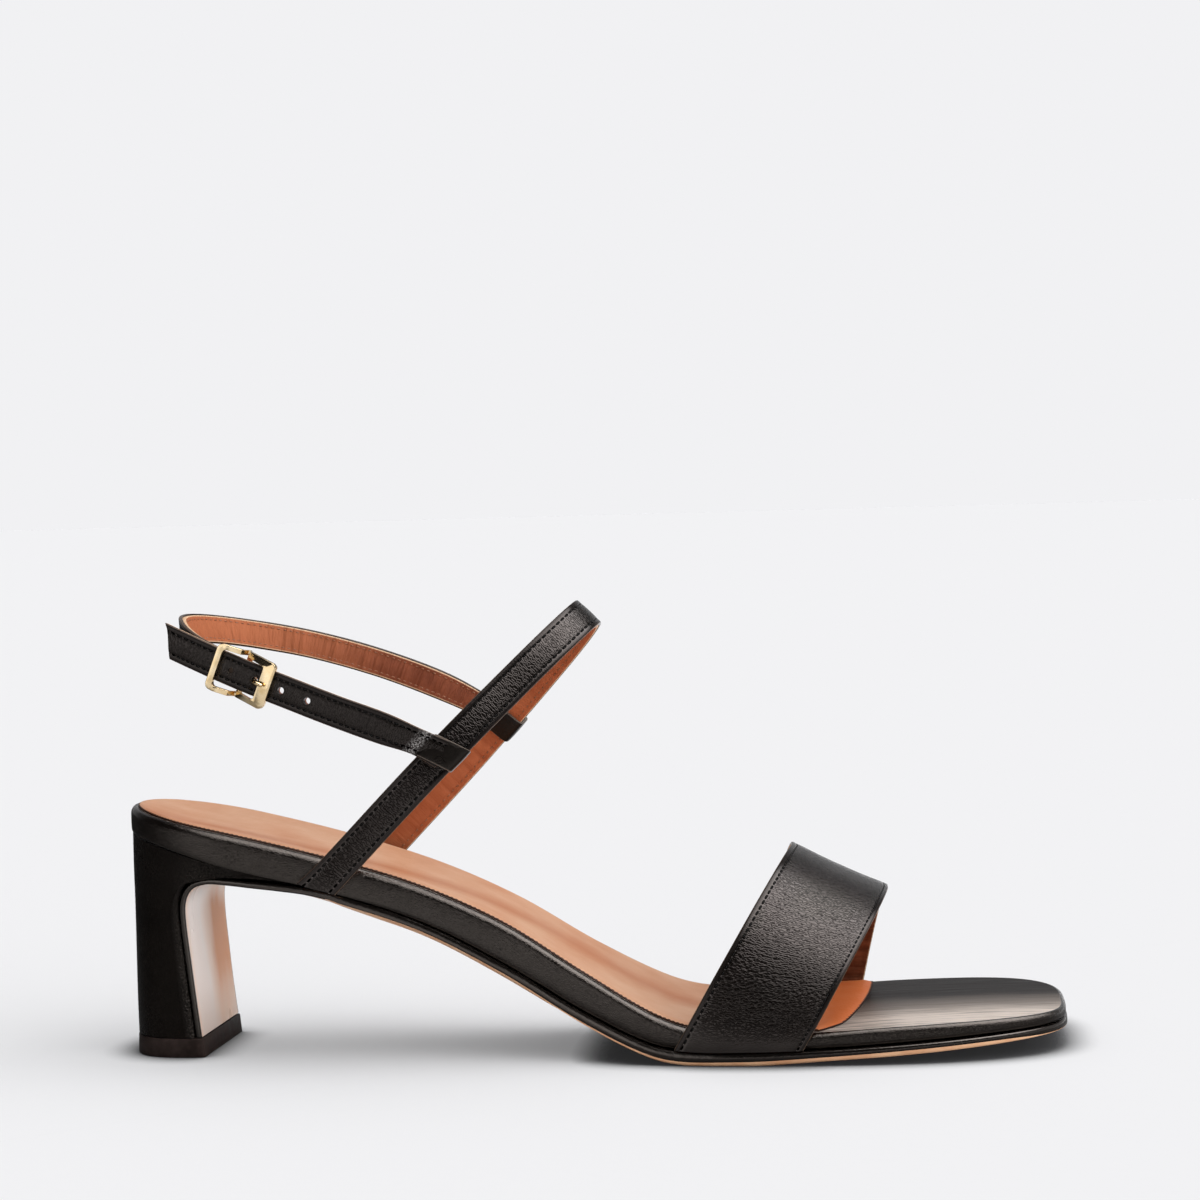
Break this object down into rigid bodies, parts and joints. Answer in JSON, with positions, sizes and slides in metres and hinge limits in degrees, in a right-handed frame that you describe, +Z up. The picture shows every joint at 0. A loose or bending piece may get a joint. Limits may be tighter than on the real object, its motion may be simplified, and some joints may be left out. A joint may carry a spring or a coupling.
{
  "type": "heeled sandal",
  "caption": "Open-toe heeled sandal for the right foot in black leather with a broad vamp strap, buckled ankle straps, tan sock, leather sole and covered block heel.",
  "frame": {"origin": "On the floor under the middle of the sandal's length and width, where it stands.", "axes": "+X runs forward from the heel to the toe, +Y to the medial (inner) side of a right foot, +Z up."},
  "size_m": [0.2414, 0.0808, 0.1145],
  "materials": {
    "sole_leather": "smooth tan sole leather with a black-painted edge",
    "footbed_leather": "black leather wrapped over the insole board, satin",
    "sock_leather": "tan lining leather, fine grain, soft sheen",
    "heel_cover": "black leather cover, satin",
    "top_piece_rubber": "dark brown-black hard rubber, matte",
    "vamp_leather": "black pebbled leather, satin, tan lined",
    "strap_leather": "black pebbled leather, satin, tan lined",
    "buckle_metal": "polished pale gold plate",
    "prong_metal": "polished pale gold plate"
  },
  "bodies": {
    "root": {"outsole": "sole_leather", "footbed": "footbed_leather", "insole": "sock_leather", "heel": "heel_cover", "top_piece": "top_piece_rubber", "vamp_strap": "vamp_leather", "ankle_straps": "strap_leather", "buckle_frame": "buckle_metal", "buckle_prong": "prong_metal"}
  },
  "joints": []
}
